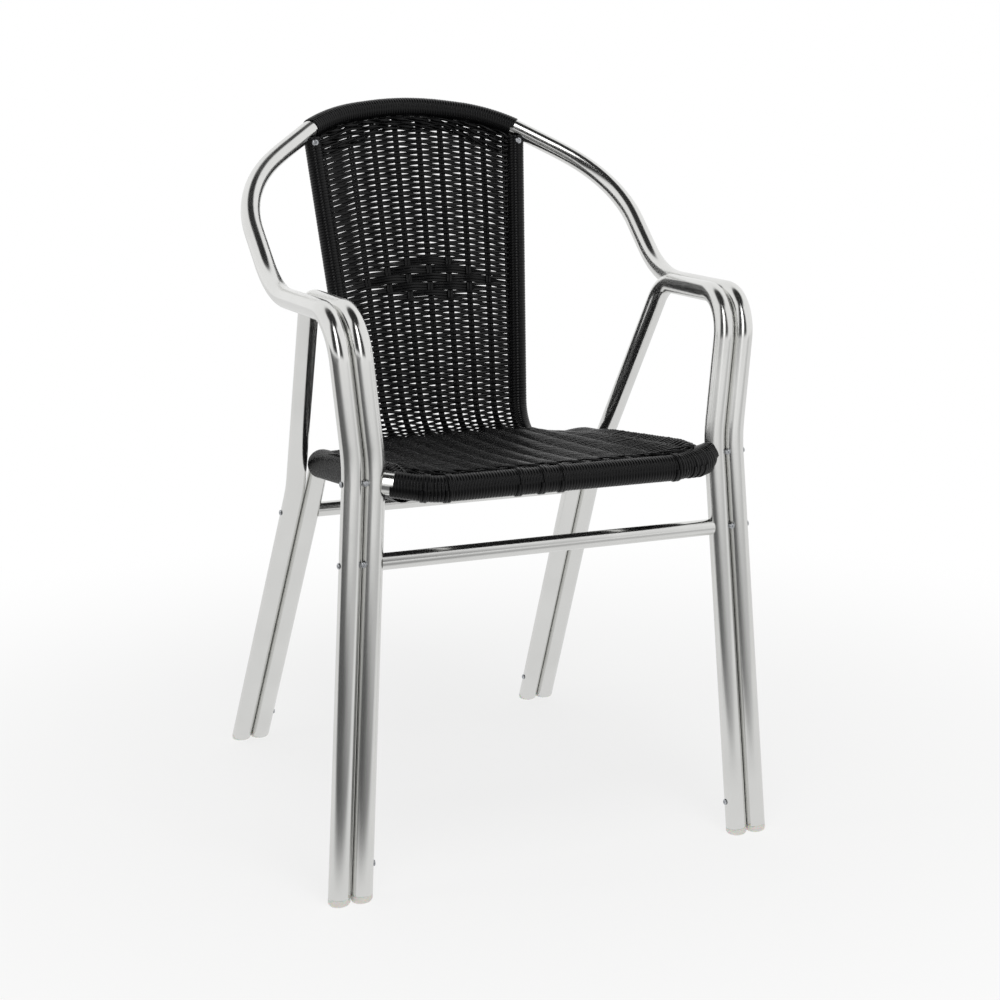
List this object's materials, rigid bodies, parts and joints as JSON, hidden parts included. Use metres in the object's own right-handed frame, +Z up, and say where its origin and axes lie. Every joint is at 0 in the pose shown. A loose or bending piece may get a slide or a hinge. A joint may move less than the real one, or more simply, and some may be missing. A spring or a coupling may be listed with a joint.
{
  "type": "stacking armchair",
  "caption": "Stacking cafe armchair with a bent doubled-tube metal frame, a wound hoop back and a seat and back woven from dark strand.",
  "frame": {"origin": "on the floor, at the middle of the chair's footprint", "axes": "+Z up; the sitter faces -Y, so the back leans towards +Y; +X is the right side for someone who stands in front and looks at the chair, and left and right in node names are meant the same way"},
  "size_m": [0.5602, 0.633, 0.8946],
  "materials": {
    "polished_aluminium": "bright drawn and polished tube",
    "black_strand": "satin black extruded strand, wound and woven",
    "clear_plastic": "milky translucent moulding",
    "plain_steel": "bright plated screw heads"
  },
  "bodies": {
    "root": {"back_hoop_tube": "polished_aluminium", "left_side_tube": "polished_aluminium", "left_rear_leg_tube": "polished_aluminium", "right_side_tube": "polished_aluminium", "right_rear_leg_tube": "polished_aluminium", "front_stretcher": "polished_aluminium", "rear_stretcher": "polished_aluminium", "seat_front_rail": "polished_aluminium", "seat_rear_bow": "polished_aluminium", "left_back_upright": "polished_aluminium", "right_back_upright": "polished_aluminium", "back_hoop_winding": "black_strand", "seat_front_rail_winding": "black_strand", "left_side_rail_winding": "black_strand", "right_side_rail_winding": "black_strand", "left_back_upright_winding": "black_strand", "right_back_upright_winding": "black_strand", "seat_rear_rail_winding": "black_strand", "seat_woven_panel": "black_strand", "back_woven_panel": "black_strand", "front_left_outer_foot_plug": "clear_plastic", "front_left_inner_foot_plug": "clear_plastic", "front_right_outer_foot_plug": "clear_plastic", "front_right_inner_foot_plug": "clear_plastic", "rear_left_outer_foot_plug": "clear_plastic", "rear_left_inner_foot_plug": "clear_plastic", "rear_right_outer_foot_plug": "clear_plastic", "rear_right_inner_foot_plug": "clear_plastic", "left_seat_rail_screw": "plain_steel", "right_seat_rail_screw": "plain_steel", "left_front_stretcher_screw": "plain_steel", "right_front_stretcher_screw": "plain_steel", "left_rear_stretcher_screw": "plain_steel", "right_rear_stretcher_screw": "plain_steel", "left_front_foot_tie_screw": "plain_steel", "right_front_foot_tie_screw": "plain_steel", "left_rear_foot_tie_screw": "plain_steel", "right_rear_foot_tie_screw": "plain_steel", "left_back_upright_bolt": "plain_steel", "right_back_upright_bolt": "plain_steel"}
  },
  "joints": []
}
